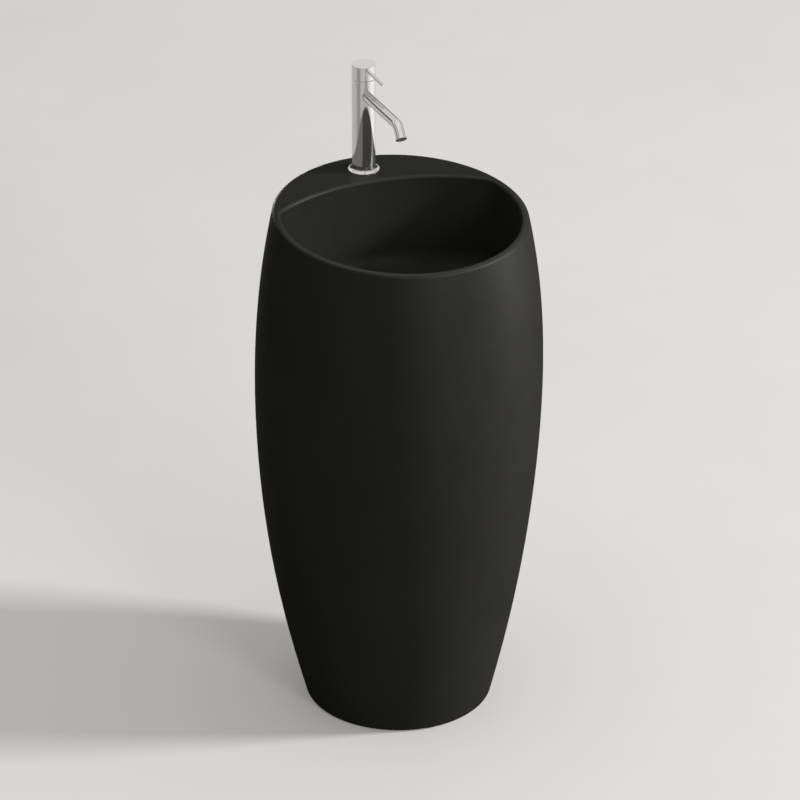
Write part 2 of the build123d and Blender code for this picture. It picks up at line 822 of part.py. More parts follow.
with BuildPart() as tap_spout:
    add(spout_line.line)
    with BuildSketch(spout_root):
        Circle(spout_radius)
        Circle(spout_radius - spout_wall, mode=Mode.SUBTRACT)
    sweep()
    with BuildSketch(nozzle_end):
        Circle(aerator_bore_radius)
    extrude(amount=-aerator_bore_depth, mode=Mode.SUBTRACT)
tap_spout.part.label = "tap_spout"
export_step(tap_spout.part, "parts/tap_spout.step")

# Aerator screwed into the nozzle
aerator_sleeve_radius = aerator_bore_radius - aerator_fit
aerator_insert_radius = aerator_sleeve_radius - aerator_sleeve_wall - aerator_fit
aerator_sleeve_length = aerator_bore_depth - aerator_washer_thickness

with BuildPart() as aerator_housing:
    with BuildSketch(nozzle_end):
        Circle(aerator_rim_radius)
    extrude(amount=aerator_rim_height)
    fillet(aerator_housing.edges().filter_by(GeomType.CIRCLE), aerator_rim_round)
    with BuildSketch(nozzle_end):
        Circle(aerator_sleeve_radius)
    extrude(amount=-aerator_sleeve_length)
    with BuildSketch(nozzle_end.offset(aerator_rim_height)):
        Circle(aerator_sleeve_radius - aerator_sleeve_wall)
    extrude(amount=-(aerator_rim_height + aerator_sleeve_length), mode=Mode.SUBTRACT)
aerator_housing.part.label = "aerator_housing"
export_step(aerator_housing.part, "parts/aerator_housing.step")

with BuildPart() as aerator_insert:
    with BuildSketch(nozzle_end.offset(aerator_rim_height - aerator_recess)):
        Circle(aerator_insert_radius)
        with GridLocations(aerator_pitch, 0, 4, 1):
            SlotOverall(aerator_slot_length, aerator_slot, rotation=90, mode=Mode.SUBTRACT)
    extrude(amount=-aerator_insert_height)
aerator_insert.part.label = "aerator_insert"
export_step(aerator_insert.part, "parts/aerator_insert.step")

with BuildPart() as aerator_washer:
    with BuildSketch(nozzle_end.offset(-aerator_sleeve_length)):
        Circle(aerator_sleeve_radius)
        Circle(aerator_sleeve_radius - aerator_washer_width, mode=Mode.SUBTRACT)
    extrude(amount=-aerator_washer_thickness)
aerator_washer.part.label = "aerator_washer"
export_step(aerator_washer.part, "parts/aerator_washer.step")

# Cartridge: housing with the discs, the swivelling rotor and the tilting spindle
housing_radius = chamber_radius - housing_flow_gap
housing_bore = housing_radius - housing_wall
plate_top = chamber_floor_height + base_plate_thickness
lip_bottom = housing_top_height - housing_lip
rotor_bottom_height = lip_bottom - rotor_end_play - rotor_flange
rotor_top_height = housing_top_height + rotor_neck_rise
pivot_height = housing_top_height + pivot_rise
disc_top = plate_top + disc_thickness
moving_disc_top = disc_top + disc_film + disc_thickness
carrier_top = rotor_bottom_height - carrier_gap
swing = tilt_range / 2
finger_back = spindle_arm * sin(radians(swing))
finger_height = pivot_height - spindle_arm * cos(radians(swing))
moving_disc_radius = housing_bore - finger_back - disc_side_gap
spindle_top_height = cap_bottom + spindle_grip
ports = [(-supply_x, supply_y), (supply_x, supply_y)]

with BuildPart() as cartridge_housing:
    with BuildSketch(tap_level(chamber_floor_height)):
        Circle(housing_radius)
    extrude(amount=housing_top_height - chamber_floor_height)
    with BuildSketch(tap_level(housing_top_height)):
        Circle(chamber_radius - housing_fit)
    extrude(amount=-housing_shoulder)
    with BuildSketch(tap_level(plate_top)):
        Circle(housing_bore)
    extrude(amount=lip_bottom - plate_top, mode=Mode.SUBTRACT)
    with BuildSketch(tap_level(lip_bottom)):
        Circle(rotor_neck_radius + rotor_fit)
    extrude(amount=housing_lip, mode=Mode.SUBTRACT)
    # Inlet ports with their seal seats, and the mixed water's way out at the back
    with BuildSketch(tap_level(chamber_floor_height)):
        with Locations(*ports):
            Circle(port_radius)
    extrude(amount=base_plate_thickness, mode=Mode.SUBTRACT)
    with BuildSketch(tap_level(chamber_floor_height)):
        with Locations(*ports):
            Circle(port_radius + port_seal_width)
    extrude(amount=port_seal_thickness, mode=Mode.SUBTRACT)
    with BuildSketch(tap_level(plate_top)):
        with Locations((0, outlet_port_y)):
            SlotCenterToCenter(2 * housing_radius, 2 * port_radius, rotation=90)
            Rectangle(
                4 * port_radius,
                2 * housing_radius,
                align=(Align.CENTER, Align.MAX),
                mode=Mode.SUBTRACT,
            )
    extrude(amount=-base_plate_thickness / 2, mode=Mode.SUBTRACT)
cartridge_housing.part.label = "cartridge_housing"
export_step(cartridge_housing.part, "parts/cartridge_housing.step")

with BuildPart() as cartridge_seals:
    with BuildSketch(tap_level(chamber_floor_height)):
        with Locations(*ports):
            Circle(port_radius + port_seal_width)
            Circle(port_radius, mode=Mode.SUBTRACT)
    extrude(amount=port_seal_thickness)
cartridge_seals.part.label = "cartridge_seals"
export_step(cartridge_seals.part, "parts/cartridge_seals.step")

with BuildPart() as fixed_disc:
    with BuildSketch(tap_level(plate_top)):
        Circle(housing_bore - disc_fit)
        with Locations(*ports, (0, outlet_port_y)):
            Circle(port_radius, mode=Mode.SUBTRACT)
    extrude(amount=disc_thickness)
fixed_disc.part.label = "fixed_disc"
export_step(fixed_disc.part, "parts/fixed_disc.step")

with BuildPart() as moving_disc:
    with BuildSketch(tap_level(disc_top + disc_film)):
        with Locations((0, finger_back)):
            Circle(moving_disc_radius)
    extrude(amount=disc_thickness)
    with BuildSketch(tap_level(disc_top + disc_film)):
        with Locations((0, finger_back + mixing_y)):
            Circle(mixing_radius)
    extrude(amount=mixing_depth, mode=Mode.SUBTRACT)
moving_disc.part.label = "moving_disc"
export_step(moving_disc.part, "parts/moving_disc.step")

with BuildPart() as disc_carrier:
    with BuildSketch(tap_level(moving_disc_top)):
        with Locations((0, finger_back)):
            Circle(moving_disc_radius)
    extrude(amount=carrier_top - moving_disc_top)
    with BuildSketch(tap_level(carrier_top)):
        with Locations((0, finger_back)):
            Rectangle(2 * (spindle_half_width + spindle_fit), 2 * (finger_radius + finger_fit))
    extrude(amount=-(carrier_top - finger_height + finger_radius + finger_floor_gap), mode=Mode.SUBTRACT)
disc_carrier.part.label = "disc_carrier"
export_step(disc_carrier.part, "parts/disc_carrier.step")

with BuildPart() as cartridge_rotor:
    with BuildSketch(tap_level(rotor_bottom_height)):
        Circle(housing_bore - rotor_fit)
    extrude(amount=lip_bottom - rotor_end_play - rotor_bottom_height)
    with BuildSketch(tap_level(rotor_bottom_height)):
        Circle(rotor_neck_radius)
    extrude(amount=rotor_top_height - rotor_bottom_height)
    # Slot for the finger in the flange, open front and back in the neck
    with BuildSketch(tap_level(rotor_bottom_height)):
        Rectangle(
            2 * (spindle_half_width + spindle_fit),
            2 * (finger_back + finger_radius + finger_floor_gap),
        )
    extrude(amount=rotor_top_height - rotor_bottom_height, mode=Mode.SUBTRACT)
    with BuildSketch(tap_level(lip_bottom)):
        Rectangle(2 * (spindle_half_width + spindle_fit), 2 * housing_bore)
    extrude(amount=rotor_top_height - lip_bottom, mode=Mode.SUBTRACT)
    with BuildSketch(tap_side):
        with Locations((0, pivot_height)):
            Circle(pivot_radius)
    extrude(amount=housing_bore, both=True, mode=Mode.SUBTRACT)
cartridge_rotor.part.label = "cartridge_rotor"
export_step(cartridge_rotor.part, "parts/cartridge_rotor.step")

with BuildPart() as pivot_pin:
    with BuildSketch(tap_side):
        with Locations((0, pivot_height)):
            Circle(pivot_radius)
    extrude(amount=rotor_neck_radius - spindle_fit, both=True)
pivot_pin.part.label = "pivot_pin"
export_step(pivot_pin.part, "parts/pivot_pin.step")

with BuildPart() as spindle:
    with BuildSketch(tap_side):
        with Locations((0, (pivot_height + spindle_top_height) / 2)):
            Rectangle(2 * spindle_half_depth, spindle_top_height - pivot_height)
        with Locations((0, pivot_height)):
            Circle(spindle_half_depth)
        with Locations((-finger_back, finger_height)):
            Circle(finger_radius)
        with Locations(Location((-finger_back / 2, (pivot_height + finger_height) / 2), -swing)):
            Rectangle(2 * spindle_arm_half_depth, spindle_arm)
        with Locations((0, pivot_height)):
            Circle(pivot_radius + pivot_fit, mode=Mode.SUBTRACT)
    extrude(amount=spindle_half_width, both=True)
spindle.part.label = "spindle"
export_step(spindle.part, "parts/spindle.step")

with BuildPart() as cartridge_nut:
    with BuildSketch(tap_level(housing_top_height)):
        Circle(chamber_radius - cartridge_nut_fit)
        Circle(cartridge_nut_bore, mode=Mode.SUBTRACT)
    extrude(amount=cartridge_nut_height)
    with BuildSketch(tap_level(housing_top_height + cartridge_nut_height)):
        with PolarLocations(chamber_radius, 4, start_angle=45):
            Rectangle(chamber_radius, cartridge_nut_notch)
    extrude(amount=-cartridge_nut_notch, mode=Mode.SUBTRACT)
cartridge_nut.part.label = "cartridge_nut"
export_step(cartridge_nut.part, "parts/cartridge_nut.step")

# Handle: cap on the spindle, relieved behind its pivot so that it can tip back, with the pin lever
lever_plane = Plane(
    (0, tap_y, basin_height + cap_bottom + lever_height),
    z_dir=(0, -cos(radians(lever_rise)), sin(radians(lever_rise))),
)
grub_start = (0, tap_y + spindle_half_depth + spindle_fit, basin_height + cap_bottom + grub_height)
grub_plane = Plane(grub_start, z_dir=(0, 1, 0))

with BuildPart() as handle_cap:
    with BuildSketch(tap_level(cap_bottom)):
        Circle(tap_radius)
    extrude(amount=cap_height)
    fillet(handle_cap.edges().sort_by(Axis.Z)[-1], cap_edge)
    relief_rise = 2 * tap_radius * tan(radians(tilt_range + cap_relief_margin))
    with BuildSketch(tap_side):
        with BuildLine():
            Polyline(
                (0, cap_bottom),
                (-2 * tap_radius, cap_bottom),
                (-2 * tap_radius, cap_bottom + relief_rise),
                close=True,
            )
        make_face()
    extrude(amount=tap_radius, both=True, mode=Mode.SUBTRACT)
    with BuildSketch(tap_level(cap_bottom)):
        Rectangle(2 * (spindle_half_width + spindle_fit), 2 * (spindle_half_depth + spindle_fit))
    extrude(amount=spindle_top_height + spindle_fit - cap_bottom, mode=Mode.SUBTRACT)
    with BuildSketch(lever_plane.offset(lever_root_reach - lever_fit)):
        Circle(lever_radius + lever_fit)
    extrude(amount=2 * tap_radius, mode=Mode.SUBTRACT)
    with BuildSketch(grub_plane):
        Circle(grub_radius + lever_fit)
    extrude(amount=2 * tap_radius, mode=Mode.SUBTRACT)
handle_cap.part.label = "handle_cap"
export_step(handle_cap.part, "parts/handle_cap.step")

with BuildPart() as lever_pin:
    with BuildSketch(lever_plane.offset(lever_root_reach)):
        Circle(lever_radius)
    extrude(amount=lever_tip_reach - lever_root_reach)
    fillet(lever_pin.edges().filter_by(GeomType.CIRCLE).sort_by(Axis.Y)[0], lever_tip_round)
lever_pin.part.label = "lever_pin"
export_step(lever_pin.part, "parts/lever_pin.step")

with BuildPart() as grub_screw:
    with BuildSketch(grub_plane):
        Circle(grub_radius)
    extrude(amount=grub_length)
    with BuildSketch(grub_plane.offset(grub_length)):
        RegularPolygon(grub_socket / 2, 6, major_radius=False)
    extrude(amount=-grub_socket, mode=Mode.SUBTRACT)
grub_screw.part.label = "grub_screw"
export_step(grub_screw.part, "parts/grub_screw.step")

# Tap fixing under the deck: a stud with a horseshoe gasket, a washer and a nut
with BuildPart() as fixing_stud:
    with BuildSketch(tap_level(base_ring_ledge + stud_engagement)):
        with Locations((0, stud_y)):
            Circle(stud_radius)
    extrude(amount=-(base_ring_ledge + stud_engagement + stud_drop))
fixing_stud.part.label = "fixing_stud"
export_step(fixing_stud.part, "parts/fixing_stud.step")

horseshoe_levels = {
    "fixing_gasket": (-deck_thickness, fixing_gasket_thickness),
    "fixing_washer": (-deck_thickness - fixing_gasket_thickness, fixing_washer_thickness),
}
for name, (top, thickness) in horseshoe_levels.items():
    with BuildPart() as horseshoe:
        with BuildSketch(tap_level(top)):
            Circle(fixing_radius)
            with Locations((0, fixing_slot_back)):
                Rectangle(
                    2 * fixing_slot_half_width,
                    2 * fixing_radius,
                    align=(Align.CENTER, Align.MAX),
                    mode=Mode.SUBTRACT,
                )
            with Locations((0, stud_y)):
                Circle(stud_radius + thread_clearance, mode=Mode.SUBTRACT)
        extrude(amount=-thickness)
    horseshoe.part.label = name
    export_step(horseshoe.part, f"parts/{name}.step")

with BuildPart() as fixing_nut:
    with BuildSketch(tap_level(-deck_thickness - fixing_gasket_thickness - fixing_washer_thickness)):
        with Locations((0, stud_y)):
            RegularPolygon(fixing_nut_across_flats / 2, 6, major_radius=False)
            Circle(stud_radius + stud_fit, mode=Mode.SUBTRACT)
    extrude(amount=-fixing_nut_height)
fixing_nut.part.label = "fixing_nut"
export_step(fixing_nut.part, "parts/fixing_nut.step")

# Floor brackets: an angle on each pad, screwed through the ceramic from outside
for name, angle in bracket_sides.items():
    with BuildPart() as bracket:
        with BuildSketch(bracket_plane(angle)):
            with Locations((pad_distance, 0)):
                Rectangle(bracket_thickness, bracket_upright, align=(Align.MAX, Align.MIN))
                Rectangle(bracket_leg, bracket_thickness, align=(Align.MAX, Align.MIN))
        extrude(amount=bracket_width / 2, both=True)
        with BuildSketch(across_plane(angle, pad_distance)):
            Circle(bracket_screw_radius + stud_fit)
        extrude(amount=-bracket_thickness, mode=Mode.SUBTRACT)
        hole_reach = bracket_plane(angle).x_dir * (pad_distance - bracket_hole_inset)
        with Locations(Plane(hole_reach + Vector(0, 0, bracket_thickness))):
            Hole(bracket_hole_radius, depth=bracket_thickness)
    bracket.part.label = f"bracket_{name}"
    export_step(bracket.part, f"parts/bracket_{name}.step")

with BuildPart() as bracket_screws:
    for angle in bracket_sides.values():
        with BuildSketch(across_plane(angle, screw_seat_distance)):
            Circle(bracket_screw_radius)
        extrude(amount=-(screw_seat_distance - pad_distance + bracket_thickness + screw_tip))
        with BuildSketch(across_plane(angle, screw_seat_distance)):
            Circle(screw_head_radius)
        extrude(amount=screw_head_height)
        with BuildSketch(across_plane(angle, screw_seat_distance + screw_head_height)):
            RegularPolygon(screw_socket / 2, 6, major_radius=False)
        extrude(amount=-screw_socket / 2, mode=Mode.SUBTRACT)
bracket_screws.part.label = "bracket_screws"
export_step(bracket_screws.part, "parts/bracket_screws.step")

with BuildPart() as screw_caps:
    for angle in bracket_sides.values():
        with BuildSketch(across_plane(angle, screw_seat_distance + screw_head_height)):
            Circle(screw_recess_radius - screw_cap_gap)
        extrude(amount=screw_cap_height)
screw_caps.part.label = "screw_caps"
export_step(screw_caps.part, "parts/screw_caps.step")
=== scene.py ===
"""Looks for the pedestal sink: materials, threads, floor, light and camera around its solids."""

import json
import math

import bpy
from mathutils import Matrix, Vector
from mathutils.bvhtree import BVHTree

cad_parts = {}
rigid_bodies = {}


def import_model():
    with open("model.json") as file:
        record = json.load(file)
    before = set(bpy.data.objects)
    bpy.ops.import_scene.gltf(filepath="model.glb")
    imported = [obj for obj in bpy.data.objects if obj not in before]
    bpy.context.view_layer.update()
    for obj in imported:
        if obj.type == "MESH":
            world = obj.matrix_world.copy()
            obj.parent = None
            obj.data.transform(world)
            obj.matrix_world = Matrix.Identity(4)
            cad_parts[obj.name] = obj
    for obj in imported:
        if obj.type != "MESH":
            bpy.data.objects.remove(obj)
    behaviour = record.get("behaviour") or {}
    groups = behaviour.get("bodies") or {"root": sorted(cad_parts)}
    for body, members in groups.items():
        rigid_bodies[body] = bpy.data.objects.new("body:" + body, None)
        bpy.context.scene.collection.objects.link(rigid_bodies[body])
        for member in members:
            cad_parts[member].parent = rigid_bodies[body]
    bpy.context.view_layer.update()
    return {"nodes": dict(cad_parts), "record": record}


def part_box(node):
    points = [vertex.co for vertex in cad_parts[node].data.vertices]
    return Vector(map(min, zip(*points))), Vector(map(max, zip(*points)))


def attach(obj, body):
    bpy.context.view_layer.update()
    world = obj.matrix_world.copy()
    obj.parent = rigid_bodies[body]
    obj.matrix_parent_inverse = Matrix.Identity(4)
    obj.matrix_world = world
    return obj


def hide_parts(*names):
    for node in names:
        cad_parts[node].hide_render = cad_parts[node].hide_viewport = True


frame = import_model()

nodes = frame["nodes"]
scene = bpy.context.scene


def feed(tree, socket, value):
    """Links a socket to an input, or sets a plain value on it."""
    if isinstance(value, bpy.types.NodeSocket):
        tree.links.new(value, socket)
    else:
        socket.default_value = value


def wired(tree, kind, *inputs, **settings):
    """A new node with its settings, and a value or socket on each input in order, or None."""
    node = tree.nodes.new(kind)
    for key, value in settings.items():
        setattr(node, key, value)
    for socket, value in zip(node.inputs, inputs):
        if value is not None:
            feed(tree, socket, value)
    return node


# --- Materials ---


class Look:
    """One material's node tree, with short forms for the nodes it needs."""

    def __init__(self, name):
        self.material = bpy.data.materials.new(name)
        self.material.use_nodes = True
        self.tree = self.material.node_tree
        self.shader = self.tree.nodes["Principled BSDF"]
        self.place = self.add("ShaderNodeTexCoord").outputs["Object"]

    def add(self, kind, *inputs, **settings):
        return wired(self.tree, kind, *inputs, **settings)

    def join(self, source, target):
        self.tree.links.new(source, target)

    def set(self, **values):
        """Plain values on the shader's own sockets."""
        for key, value in values.items():
            self.shader.inputs[key.replace("_", " ")].default_value = value

    def attribute(self, name):
        return self.add("ShaderNodeAttribute", attribute_name=name).outputs["Fac"]

    def stretched(self, scale):
        return self.add("ShaderNodeMapping", self.place, None, None, scale).outputs["Vector"]

    def noise(self, scale, detail=2.0, roughness=0.5, stretch=None):
        where = self.stretched(stretch) if stretch else self.place
        node = self.add("ShaderNodeTexNoise", where, None, scale, detail, roughness)
        return node.outputs["Fac"]

    def between(self, value, low, high, start=0.3, end=0.7):
        """A number from low to high as value goes from start to end."""
        return self.add("ShaderNodeMapRange", value, start, end, low, high).outputs["Result"]

    def blend(self, value, first, second):
        """A colour from first to second, or between two sockets, as value goes from 0 to 1."""
        node = self.add("ShaderNodeMix", value, data_type="RGBA")
        for socket, colour in ((node.inputs[6], first), (node.inputs[7], second)):
            feed(self.tree, socket, (*colour, 1) if isinstance(colour, tuple) else colour)
        return node.outputs[2]

    def mix(self, value, first, second):
        """A number from first to second, or between two sockets, as value goes from 0 to 1."""
        return self.add("ShaderNodeMix", value, None, first, second).outputs[0]

    def colour(self, source):
        self.join(source, self.shader.inputs["Base Color"])

    def rough(self, source):
        self.join(source, self.shader.inputs["Roughness"])

    def bumps(self, *layers):
        """Relief from (height, depth in metres, strength) layers."""
        normal = None
        for height, depth, strength in layers:
            node = self.add("ShaderNodeBump")
            node.inputs["Distance"].default_value = depth
            node.inputs["Strength"].default_value = strength
            self.join(height, node.inputs["Height"])
            if normal:
                self.join(normal, node.inputs["Normal"])
            normal = node.outputs["Normal"]
        self.join(normal, self.shader.inputs["Normal"])


# Heights over which the front lip's top gets a painted highlight, and depths over which the
# lip takes over from the edge of the deck
LIP_TOP = (0.8486, 0.8498)
LIP_FRONT = (-0.04, 0.05)


def matt_black_glaze():
    """Matt black glaze with a painted highlight on the bowl's edge, and bare clay where none is.
    """
    look = Look("matt_black_glaze")
    look.set(Specular_IOR_Level=0.22)
    bare = look.attribute("bare")
    deck_edge_highlight = look.attribute("painted_rim_highlight")
    spot = look.add("ShaderNodeSeparateXYZ", look.place)
    lip = look.between(spot.outputs["Z"], 0, 1, *LIP_TOP)
    painted_rim_highlight = look.mix(look.between(spot.outputs["Y"], 1, 0, *LIP_FRONT), deck_edge_highlight, lip)
    cloud = look.between(look.noise(7, 3), 0, 1)
    glaze = look.blend(cloud, (0.0195, 0.0190, 0.0178), (0.0235, 0.0229, 0.0215))
    # painted highlight: a paler colour along the bowl's edge and on top of the front lip
    glaze = look.blend(painted_rim_highlight, glaze, (0.035, 0.0341, 0.0323))
    clay = look.blend(look.noise(60, 4), (0.58, 0.53, 0.46), (0.70, 0.66, 0.60))
    look.colour(look.blend(bare, glaze, clay))
    satin = look.mix(painted_rim_highlight, look.between(look.noise(45, 3), 0.46, 0.54), 0.42)
    look.rough(look.mix(bare, satin, 0.9))
    orange_peel, tooth = look.noise(330, 2), look.noise(2600, 2)
    look.bumps((orange_peel, 0.00025, 0.10), (tooth, 0.00004, 0.25))
    return look.material


def chrome():
    """Plating with a faint haze, a little less than a full metal so that its tone stays soft."""
    look = Look("chrome")
    look.set(Metallic=0.93)
    look.colour(look.blend(look.noise(30, 2), (0.80, 0.80, 0.81), (0.84, 0.84, 0.845)))
    look.rough(look.between(look.noise(120, 4, 0.6), 0.03, 0.075))
    look.bumps((look.noise(180, 2), 0.00004, 0.05))
    return look.material


def brass():
    """Bare brass with the fine rings of a lathe."""
    look = Look("brass")
    look.set(Metallic=1.0)
    look.colour(look.blend(look.noise(90, 4), (0.60, 0.40, 0.15), (0.74, 0.54, 0.24)))
    rings = look.noise(1, 3, stretch=(40, 40, 2600))
    look.rough(look.between(rings, 0.24, 0.42))
    look.bumps((rings, 0.00005, 0.3))
    return look.material


def zinc_steel():
    """Zinc-plated steel, bluish to yellowish."""
    look = Look("zinc_steel")
    look.set(Metallic=1.0)
    look.colour(look.blend(look.noise(70, 3), (0.52, 0.54, 0.58), (0.66, 0.65, 0.60)))
    look.rough(look.between(look.noise(260, 4, 0.6), 0.26, 0.46))
    look.bumps((look.noise(900, 2), 0.00005, 0.2))
    return look.material


def moulded(name, tint_scale, tints, finish_scale, finish, relief=None):
    """A moulded or pressed material: two tints, a range of roughness, and relief for bumps()."""
    look = Look(name)
    look.colour(look.blend(look.noise(tint_scale, 3), *tints))
    look.rough(look.between(look.noise(finish_scale, 3), *finish))
    if relief:
        relief_scale, depth, strength = relief
        look.bumps((look.noise(relief_scale, 2), depth, strength))
    return look.material


LOOKS = {
    "matt_black_glaze": matt_black_glaze(),
    "chrome": chrome(),
    "brass": brass(),
    "zinc_steel": zinc_steel(),
    "rubber": moulded(
        "rubber",
        tint_scale=160,
        tints=((0.012, 0.012, 0.012), (0.024, 0.024, 0.023)),
        finish_scale=500,
        finish=(0.68, 0.86),
        relief=(1400, 0.00006, 0.3),
    ),
    "white_plastic": moulded(
        "white_plastic",
        tint_scale=14,
        tints=((0.76, 0.76, 0.735), (0.83, 0.83, 0.81)),
        finish_scale=80,
        finish=(0.28, 0.42),
        relief=(1500, 0.00004, 0.25),
    ),
    "grey_plastic": moulded(
        "grey_plastic",
        tint_scale=60,
        tints=((0.24, 0.25, 0.26), (0.30, 0.31, 0.32)),
        finish_scale=200,
        finish=(0.42, 0.58),
        relief=(1500, 0.00005, 0.3),
    ),
    "disc_ceramic": moulded(
        "disc_ceramic",
        tint_scale=300,
        tints=((0.80, 0.79, 0.75), (0.87, 0.86, 0.83)),
        finish_scale=700,
        finish=(0.10, 0.2),
    ),
    "black_plastic": moulded(
        "black_plastic",
        tint_scale=120,
        tints=((0.009, 0.009, 0.009), (0.014, 0.014, 0.013)),
        finish_scale=300,
        finish=(0.5, 0.62),
        relief=(1800, 0.00004, 0.3),
    ),
}
METALS = [LOOKS[name] for name in ("chrome", "brass", "zinc_steel")]
slots = {part["node"]: part["material_slot"] for part in frame["record"]["subparts"]}
for node, slot in slots.items():
    nodes[node].material_slots[0].material = LOOKS[slot]

# Glaze reaches what can be seen from outside and above: the cavity and the foot stay bare clay
UP = Vector((0, 0, 1))
LEVEL = Vector((1, 1, 0))
RAY_START = 0.0005
FOOT_HEIGHT, FOOT_FACING = 0.004, -0.7
body = nodes["basin_body"].data
shell = BVHTree.FromObject(nodes["basin_body"], bpy.context.evaluated_depsgraph_get())
bare = body.attributes.new("bare", "FLOAT", "FACE")
for face in body.polygons:
    start = face.center + face.normal * RAY_START
    outward = (face.center * LEVEL).normalized()
    open_up = shell.ray_cast(start, UP)[0] is None
    open_out = shell.ray_cast(start, outward)[0] is None
    foot = face.normal.z < FOOT_FACING and face.center.z < FOOT_HEIGHT
    bare.data[face.index].value = float(foot or not (open_up or open_out))

# A painted highlight runs over the bowl's edge, strongest where the surface leans inwards by
# LEAN
RIM_EDGE = 0.832
BOWL_MIDDLE = Vector((0, -0.04, 0))
LEAN = 0.4
painted_rim_highlight = body.attributes.new("painted_rim_highlight", "FLOAT", "POINT")
for vertex in body.vertices:
    if vertex.co.z > RIM_EDGE:
        outward = ((vertex.co - BOWL_MIDDLE) * LEVEL).normalized()
        inwards = -vertex.normal.dot(outward)
        painted_rim_highlight.data[vertex.index].value = max(0, 1 - abs(inwards / LEAN - 1))


# --- Threads and nuts in place of the plain solids ---

SHARP = math.radians(28)


def turned(name, section, centre, node, steps=96, hollow=True):
    """A piece about an upright axis, in place of a node.

    section gives the outline, as (radius, height) points, at each part of a turn from 0 to 1.
    """
    columns = [section(step / steps) for step in range(steps)]
    count = len(columns[0])
    vertices, faces = [], []
    for step, column in enumerate(columns):
        angle = 2 * math.pi * step / steps
        for radius, height in column:
            x = centre[0] + radius * math.cos(angle)
            y = centre[1] + radius * math.sin(angle)
            vertices.append((x, y, height))
    for step in range(steps):
        here, there = step * count, (step + 1) % steps * count
        for i in range(count if hollow else count - 1):
            up = (i + 1) % count
            faces.append((here + i, there + i, there + up, here + up))
    if not hollow:
        faces.append([step * count for step in reversed(range(steps))])
        faces.append([step * count + count - 1 for step in range(steps)])
    mesh = bpy.data.meshes.new(name)
    mesh.from_pydata(vertices, [], faces)
    for polygon in mesh.polygons:
        polygon.use_smooth = True
    mesh.set_sharp_from_angle(angle=SHARP)
    mesh.materials.append(LOOKS[slots[node]])
    piece = bpy.data.objects.new(name, mesh)
    scene.collection.objects.link(piece)
    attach(piece, "basin")
    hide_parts(node)


PER_PITCH = 12
CREST, FLANK = 0.12, 0.76


def thread(radius, low, high, pitch, depth, turn):
    """A screw thread's outline on one side of its axis, upward, running out at both ends."""
    points = []
    count = round((high - low) / pitch * PER_PITCH)
    for i in range(count + 1):
        height = low + (high - low) * i / count
        wave = abs(2 * ((height / pitch - turn) % 1) - 1)
        groove = min(1, max(0, (wave - CREST) / FLANK))
        runout = min(1, (height - low) / pitch, (high - height) / pitch)
        points.append((radius - depth * groove * runout, height))
    return points


def hexagon(across_flats, turn):
    """Distance of a hexagon's side from its centre, with a corner at the start of the turn."""
    return across_flats / 2 / math.cos(math.pi * ((6 * turn % 1) - 0.5) / 3)


NUT_CROWN = 0.47
NUT_CONE = math.radians(30)
NUT_CHAMFER = 0.0006


def hex_nut(across_flats, bore, low, high, turn):
    """A nut's outline on one side, its corners cut back by a cone above and below."""
    crown = NUT_CROWN * across_flats
    side = hexagon(across_flats, turn)
    drop = (side - crown) * math.tan(NUT_CONE)
    return [
        (bore + NUT_CHAMFER, low),
        (crown, low),
        (side, low + drop),
        (side, high - drop),
        (crown, high),
        (bore + NUT_CHAMFER, high),
        (bore, high - NUT_CHAMFER),
        (bore, low + NUT_CHAMFER),
    ]


def box_of(node):
    low, high = (Vector(corner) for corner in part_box(node))
    return low, high, ((low + high) / 2).xy


def nut(name, node, bore):
    """A chamfered hexagon nut in a node's box."""
    low, high, centre = box_of(node)

    def outline(turn):
        return hex_nut(high.y - low.y, bore, low.z, high.z, turn)

    turned(name, outline, centre, node)


# Waste flange: tail with a G 1 1/4 pipe thread, rounded rim, dished into the bore
TAIL, BORE, FLANGE, FLANGE_HEIGHT = 0.0209, 0.0182, 0.032, 0.003
PIPE_PITCH, PIPE_DEPTH = 0.002309, 0.00115
TAIL_END, TAIL_NECK = 0.0008, 0.0012
RIM_ROUND, RIM_STEPS = 0.0018, 8
EDGE = 0.0006
DISH_START, DISH_END, DISH_DROP = 0.0038, 0.0030, 0.0004


def waste_flange():
    low, high, centre = box_of("waste_flange")
    under = high.z - FLANGE_HEIGHT
    rim = []
    for i in range(RIM_STEPS + 1):
        angle = math.pi / 2 / RIM_STEPS * i
        rim.append((
            FLANGE - RIM_ROUND + RIM_ROUND * math.cos(angle),
            high.z - RIM_ROUND + RIM_ROUND * math.sin(angle),
        ))

    def outline(turn):
        return [
            (BORE + EDGE, low.z),
            (TAIL - TAIL_END, low.z),
            *thread(TAIL, low.z + TAIL_END, under - TAIL_NECK, PIPE_PITCH, PIPE_DEPTH, turn),
            (TAIL, under),
            (FLANGE - EDGE, under),
            (FLANGE, under + EDGE),
            *rim,
            (BORE + DISH_START, high.z),
            (BORE + DISH_END, high.z - DISH_DROP),
            (BORE, under),
            (BORE, low.z + EDGE),
        ]

    turned("waste_flange_turned", outline, centre, "waste_flange", 128)


# Fixing stud: M8
STUD, STUD_PITCH, STUD_DEPTH = 0.0039, 0.00125, 0.0007
STUD_END, STUD_TIP = 0.0008, 0.0009


def fixing_stud():
    low, high, centre = box_of("fixing_stud")

    def outline(turn):
        return [
            (STUD - STUD_TIP, low.z),
            *thread(STUD, low.z + STUD_END, high.z - STUD_END, STUD_PITCH, STUD_DEPTH, turn),
            (STUD - STUD_TIP, high.z),
        ]

    turned("fixing_stud_threaded", outline, centre, "fixing_stud", 48, hollow=False)


WASTE_NUT_PLAY, STUD_NUT_PLAY = 0.0002, 0.0001
waste_flange()
nut("waste_backnut_hex", "waste_backnut", TAIL + WASTE_NUT_PLAY)
nut("fixing_nut_hex", "fixing_nut", STUD + STUD_NUT_PLAY)
fixing_stud()

# --- Floor that fades out far from the object ---

FLOOR_HALF = 9
FADE = (4.0, 8.5)
FLOOR_GLOW = 0.14


